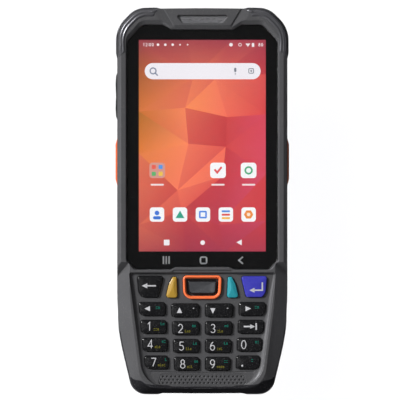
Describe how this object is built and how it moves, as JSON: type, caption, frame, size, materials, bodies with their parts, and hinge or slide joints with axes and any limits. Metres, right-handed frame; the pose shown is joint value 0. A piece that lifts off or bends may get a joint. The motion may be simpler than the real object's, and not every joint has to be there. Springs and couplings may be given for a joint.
{
  "type": "portable data terminal",
  "caption": "Handheld barcode data terminal with touch screen, numeric keypad, scan key, side triggers, corner bumpers and a hinged battery door on the back.",
  "frame": {"origin": "middle of the bounding box at its base, the plane that the back lies on", "axes": "+X to the right of the screen, +Y towards the scanner end, +Z out of the screen"},
  "size_m": [0.071, 0.1582, 0.025],
  "materials": {
    "battery_shell": "matte",
    "bumper_rubber": "satin",
    "button_black": "satin",
    "camera_window": "polished",
    "circuit_board": "solder mask",
    "contact_gold": "polished",
    "cover_glass": "polished",
    "cover_rubber": "satin",
    "display_panel": "lit picture",
    "flash_lens": "frosted",
    "frame_metal": "satin",
    "gasket_foam": "matte",
    "grille_metal": "satin",
    "housing_grey": "fine moulded grain",
    "key_black": "gloss",
    "key_blue": "gloss",
    "key_cyan": "gloss",
    "key_yellow": "gloss",
    "module_black": "matte",
    "orange_plastic": "satin",
    "pin_steel": "polished",
    "port_steel": "satin",
    "scan_window": "polished",
    "screw_steel": "dark zinc",
    "silicone": "matte",
    "trim_dark": "fine moulded grain"
  },
  "bodies": {
    "housing": {"battery_contacts": "contact_gold", "battery_pack": "battery_shell", "bumper_bottom_left": "bumper_rubber", "bumper_bottom_right": "bumper_rubber", "bumper_top_left": "bumper_rubber", "bumper_top_right": "bumper_rubber", "camera_module": "module_black", "camera_window": "camera_window", "cover_glass": "cover_glass", "cradle_contacts": "contact_gold", "display_gasket": "gasket_foam", "display_module": "display_panel", "door_pin": "pin_steel", "earpiece": "module_black", "earpiece_grille": "grille_metal", "flash_lens": "flash_lens", "front_housing": "housing_grey", "housing_screws": "screw_steel", "keypad_board": "circuit_board", "keypad_mat": "silicone", "loudspeaker": "module_black", "main_board": "circuit_board", "microphone_strip": "housing_grey", "mid_frame": "frame_metal", "rear_housing": "housing_grey", "scan_engine": "module_black", "scan_key_ring": "orange_plastic", "scan_window": "scan_window", "side_switches": "circuit_board", "usb_port": "port_steel", "vibration_motor": "frame_metal"},
    "key_0": {"key_0": "key_black"},
    "key_1": {"key_1": "key_black"},
    "key_2": {"key_2": "key_black"},
    "key_3": {"key_3": "key_black"},
    "key_4": {"key_4": "key_black"},
    "key_5": {"key_5": "key_black"},
    "key_6": {"key_6": "key_black"},
    "key_7": {"key_7": "key_black"},
    "key_8": {"key_8": "key_black"},
    "key_9": {"key_9": "key_black"},
    "key_backspace": {"key_backspace": "key_black"},
    "key_cyan": {"key_cyan": "key_cyan"},
    "key_down": {"key_down": "key_black"},
    "key_enter": {"key_enter": "key_blue"},
    "key_left": {"key_left": "key_black"},
    "key_point": {"key_point": "key_black"},
    "key_right": {"key_right": "key_black"},
    "key_scan": {"key_scan": "key_black"},
    "key_tab": {"key_tab": "key_black"},
    "key_up": {"key_up": "key_black"},
    "key_yellow": {"key_yellow": "key_yellow"},
    "left_trigger": {"left_trigger": "orange_plastic"},
    "right_trigger": {"right_trigger": "orange_plastic"},
    "volume_rocker": {"volume_rocker": "button_black"},
    "power_button": {"power_button": "button_black"},
    "battery_door": {"battery_door": "housing_grey"},
    "door_latch": {"door_latch": "trim_dark"},
    "usb_cover": {"usb_cover": "cover_rubber"}
  },
  "joints": [
    {"name": "key_0_press", "type": "slide", "parent": "housing", "child": "key_0", "axis": [0, 0, -1], "range_m": [0, 0.0008], "stiffness_N_per_m": 900},
    {"name": "key_1_press", "type": "slide", "parent": "housing", "child": "key_1", "axis": [0, 0, -1], "range_m": [0, 0.0008], "stiffness_N_per_m": 900},
    {"name": "key_2_press", "type": "slide", "parent": "housing", "child": "key_2", "axis": [0, 0, -1], "range_m": [0, 0.0008], "stiffness_N_per_m": 900},
    {"name": "key_3_press", "type": "slide", "parent": "housing", "child": "key_3", "axis": [0, 0, -1], "range_m": [0, 0.0008], "stiffness_N_per_m": 900},
    {"name": "key_4_press", "type": "slide", "parent": "housing", "child": "key_4", "axis": [0, 0, -1], "range_m": [0, 0.0008], "stiffness_N_per_m": 900},
    {"name": "key_5_press", "type": "slide", "parent": "housing", "child": "key_5", "axis": [0, 0, -1], "range_m": [0, 0.0008], "stiffness_N_per_m": 900},
    {"name": "key_6_press", "type": "slide", "parent": "housing", "child": "key_6", "axis": [0, 0, -1], "range_m": [0, 0.0008], "stiffness_N_per_m": 900},
    {"name": "key_7_press", "type": "slide", "parent": "housing", "child": "key_7", "axis": [0, 0, -1], "range_m": [0, 0.0008], "stiffness_N_per_m": 900},
    {"name": "key_8_press", "type": "slide", "parent": "housing", "child": "key_8", "axis": [0, 0, -1], "range_m": [0, 0.0008], "stiffness_N_per_m": 900},
    {"name": "key_9_press", "type": "slide", "parent": "housing", "child": "key_9", "axis": [0, 0, -1], "range_m": [0, 0.0008], "stiffness_N_per_m": 900},
    {"name": "key_backspace_press", "type": "slide", "parent": "housing", "child": "key_backspace", "axis": [0, 0, -1], "range_m": [0, 0.0008], "stiffness_N_per_m": 900},
    {"name": "key_cyan_press", "type": "slide", "parent": "housing", "child": "key_cyan", "axis": [0, 0, -1], "range_m": [0, 0.0008], "stiffness_N_per_m": 900},
    {"name": "key_down_press", "type": "slide", "parent": "housing", "child": "key_down", "axis": [0, 0, -1], "range_m": [0, 0.0008], "stiffness_N_per_m": 900},
    {"name": "key_enter_press", "type": "slide", "parent": "housing", "child": "key_enter", "axis": [0, 0, -1], "range_m": [0, 0.0008], "stiffness_N_per_m": 900},
    {"name": "key_left_press", "type": "slide", "parent": "housing", "child": "key_left", "axis": [0, 0, -1], "range_m": [0, 0.0008], "stiffness_N_per_m": 900},
    {"name": "key_point_press", "type": "slide", "parent": "housing", "child": "key_point", "axis": [0, 0, -1], "range_m": [0, 0.0008], "stiffness_N_per_m": 900},
    {"name": "key_right_press", "type": "slide", "parent": "housing", "child": "key_right", "axis": [0, 0, -1], "range_m": [0, 0.0008], "stiffness_N_per_m": 900},
    {"name": "key_scan_press", "type": "slide", "parent": "housing", "child": "key_scan", "axis": [0, 0, -1], "range_m": [0, 0.0008], "stiffness_N_per_m": 900},
    {"name": "key_tab_press", "type": "slide", "parent": "housing", "child": "key_tab", "axis": [0, 0, -1], "range_m": [0, 0.0008], "stiffness_N_per_m": 900},
    {"name": "key_up_press", "type": "slide", "parent": "housing", "child": "key_up", "axis": [0, 0, -1], "range_m": [0, 0.0008], "stiffness_N_per_m": 900},
    {"name": "key_yellow_press", "type": "slide", "parent": "housing", "child": "key_yellow", "axis": [0, 0, -1], "range_m": [0, 0.0008], "stiffness_N_per_m": 900},
    {"name": "left_trigger_press", "type": "slide", "parent": "housing", "child": "left_trigger", "axis": [1, 0, 0], "range_m": [0, 0.0006], "stiffness_N_per_m": 1500},
    {"name": "right_trigger_press", "type": "slide", "parent": "housing", "child": "right_trigger", "axis": [-1, 0, 0], "range_m": [0, 0.0006], "stiffness_N_per_m": 1500},
    {"name": "volume_rocker_tilt", "type": "hinge", "parent": "housing", "child": "volume_rocker", "pos_m": [-0.0336, 0.0429, 0.0136], "axis": [0, 0, 1], "range_deg": [-2.5, 2.5], "stiffness_Nm_per_rad": 0.08},
    {"name": "power_button_press", "type": "slide", "parent": "housing", "child": "power_button", "axis": [-1, 0, 0], "range_m": [0, 0.0005], "stiffness_N_per_m": 900},
    {"name": "battery_door_hinge", "type": "hinge", "parent": "housing", "child": "battery_door", "pos_m": [0, 0.0226, 0.0014], "axis": [1, 0, 0], "range_deg": [0, 70]},
    {"name": "door_latch_slide", "type": "slide", "parent": "battery_door", "child": "door_latch", "axis": [0, 1, 0], "range_m": [0, 0.002]},
    {"name": "usb_cover_hinge", "type": "hinge", "parent": "housing", "child": "usb_cover", "pos_m": [0, -0.0774, 0.0066], "axis": [1, 0, 0], "range_deg": [0, 85]}
  ]
}
